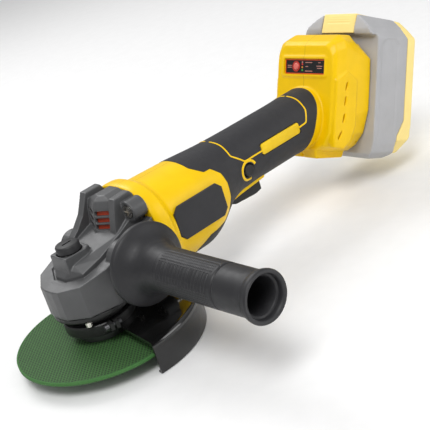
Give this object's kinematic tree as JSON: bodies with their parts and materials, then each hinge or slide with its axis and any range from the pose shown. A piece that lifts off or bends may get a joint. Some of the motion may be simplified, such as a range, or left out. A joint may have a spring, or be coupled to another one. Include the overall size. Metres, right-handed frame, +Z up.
{
  "type": "angle grinder",
  "caption": "Cordless angle grinder with a bonded cutting disc, adjustable guard, side handle, paddle trigger and a slide-on battery behind a slim grip.",
  "frame": {"origin": "centre of the spindle's end face, below the disc, on the spindle axis", "axes": "+Z up along the spindle from the disc to the gear head, +X from the gear head along the body to the battery, the side handle points to -Y"},
  "size_m": [0.3819, 0.2287, 0.1294],
  "materials": {
    "cast_housing": "satin cast",
    "black_cover": "satin black coated",
    "guard_steel": "gloss black",
    "bright_steel": "plated",
    "gear_steel": "machined",
    "abrasive_disc": "bonded abrasive with glass mesh",
    "copper_windings": "enamelled",
    "magnet_rotor": "coated",
    "fan_plastic": "moulded",
    "yellow_shell": "satin moulded",
    "soft_overmould": "fine grained",
    "black_plastic": "moulded",
    "display_glass": "gloss with red border",
    "red_plastic": "gloss",
    "circuit_board": "lacquered",
    "red_wire": "insulation",
    "black_wire": "insulation",
    "pack_shell": "pale moulded",
    "pack_yellow": "pale moulded",
    "cell_sleeve": "shrink sleeve"
  },
  "bodies": {
    "housing": {"gear_housing": "cast_housing", "gear_housing_screw_1": "bright_steel", "gear_housing_screw_2": "bright_steel", "gear_housing_screw_3": "bright_steel", "gear_housing_screw_4": "bright_steel", "bearing_plate_screw_1": "bright_steel", "bearing_plate_screw_2": "bright_steel", "bearing_plate_screw_3": "bright_steel", "bearing_plate_screw_4": "bright_steel", "spindle_lock_spring": "bright_steel", "spindle_lower_bearing": "bright_steel", "spindle_upper_bearing": "bright_steel", "motor_front_bearing": "bright_steel", "motor_rear_bearing": "bright_steel", "trigger_pin": "bright_steel", "housing_screw_1": "bright_steel", "housing_screw_2": "bright_steel", "housing_screw_3": "bright_steel", "bearing_plate": "black_cover", "stator": "copper_windings", "housing_left": "yellow_shell", "housing_right": "yellow_shell", "grip_plate_left": "yellow_shell", "grip_plate_right": "yellow_shell", "grip_overmould_left": "soft_overmould", "grip_overmould_right": "soft_overmould", "badge_plate_left": "black_plastic", "badge_plate_right": "black_plastic", "switch_body": "black_plastic", "terminal_block": "black_plastic", "display_panel": "display_glass", "hood_filter": "red_plastic", "control_board": "circuit_board", "power_lead_positive": "red_wire", "power_lead_negative": "black_wire"},
    "spindle_set": {"spindle": "bright_steel", "crown_gear": "gear_steel", "inner_flange": "gear_steel", "cutting_disc": "abrasive_disc", "outer_flange_nut": "gear_steel"},
    "motor_rotor": {"motor_shaft": "bright_steel", "pinion_gear": "gear_steel", "cooling_fan": "fan_plastic", "rotor": "magnet_rotor"},
    "guard": {"wheel_guard": "guard_steel", "guard_clamp_screw": "bright_steel"},
    "spindle_lock": {"spindle_lock_button": "black_plastic"},
    "trigger": {"trigger": "black_plastic"},
    "lock_on": {"lock_on_button": "black_plastic"},
    "speed_button": {"speed_button": "red_plastic"},
    "side_handle": {"side_handle_grip": "black_plastic", "side_handle_stud": "bright_steel"},
    "battery": {"battery_case": "pack_shell", "battery_end_cap": "pack_yellow", "battery_cell_1": "cell_sleeve", "battery_cell_2": "cell_sleeve", "battery_cell_3": "cell_sleeve", "battery_cell_4": "cell_sleeve", "battery_cell_5": "cell_sleeve"},
    "battery_release": {"battery_release_button": "pack_yellow"}
  },
  "joints": [
    {"name": "spindle_spin", "type": "hinge", "parent": "housing", "child": "spindle_set", "pos_m": [0, 0, 0], "axis": [0, 0, 1], "continuous": true},
    {"name": "motor_spin", "type": "hinge", "parent": "housing", "child": "motor_rotor", "pos_m": [0, 0, 0.0585], "axis": [1, 0, 0], "continuous": true},
    {"name": "guard_turn", "type": "hinge", "parent": "housing", "child": "guard", "pos_m": [0, 0, 0.02], "axis": [0, 0, 1], "range_deg": [-90, 90]},
    {"name": "spindle_lock_press", "type": "slide", "parent": "housing", "child": "spindle_lock", "axis": [0, 0, -1], "range_m": [0, 0.0035], "stiffness_N_per_m": 1200, "springref_m": -0.003, "deforming": ["spindle_lock_spring"]},
    {"name": "trigger_pull", "type": "hinge", "parent": "housing", "child": "trigger", "pos_m": [0.122, 0, 0.05], "axis": [0, -1, 0], "range_deg": [0, 8], "stiffness_Nm_per_rad": 1.5, "springref_deg": -5.73},
    {"name": "lock_on_press", "type": "slide", "parent": "housing", "child": "lock_on", "axis": [0, 1, 0], "range_m": [0, 0.002], "stiffness_N_per_m": 800, "springref_m": -0.003},
    {"name": "speed_button_press", "type": "slide", "parent": "housing", "child": "speed_button", "axis": [0.9184, 0, -0.3955], "range_m": [0, 0.001], "stiffness_N_per_m": 800, "springref_m": -0.002},
    {"name": "side_handle_unscrew", "type": "slide", "parent": "housing", "child": "side_handle", "axis": [0, -1, 0], "range_m": [0, 0.02]},
    {"name": "battery_slide", "type": "slide", "parent": "housing", "child": "battery", "axis": [0.3955, 0, 0.9184], "range_m": [0, 0.085]},
    {"name": "battery_release_press", "type": "slide", "parent": "battery", "child": "battery_release", "axis": [-0.3955, 0, -0.9184], "range_m": [0, 0.0012], "stiffness_N_per_m": 1500, "springref_m": -0.003}
  ],
  "couplings": [
    {"joint": "motor_spin", "follows": "spindle_spin", "ratio": 3}
  ]
}
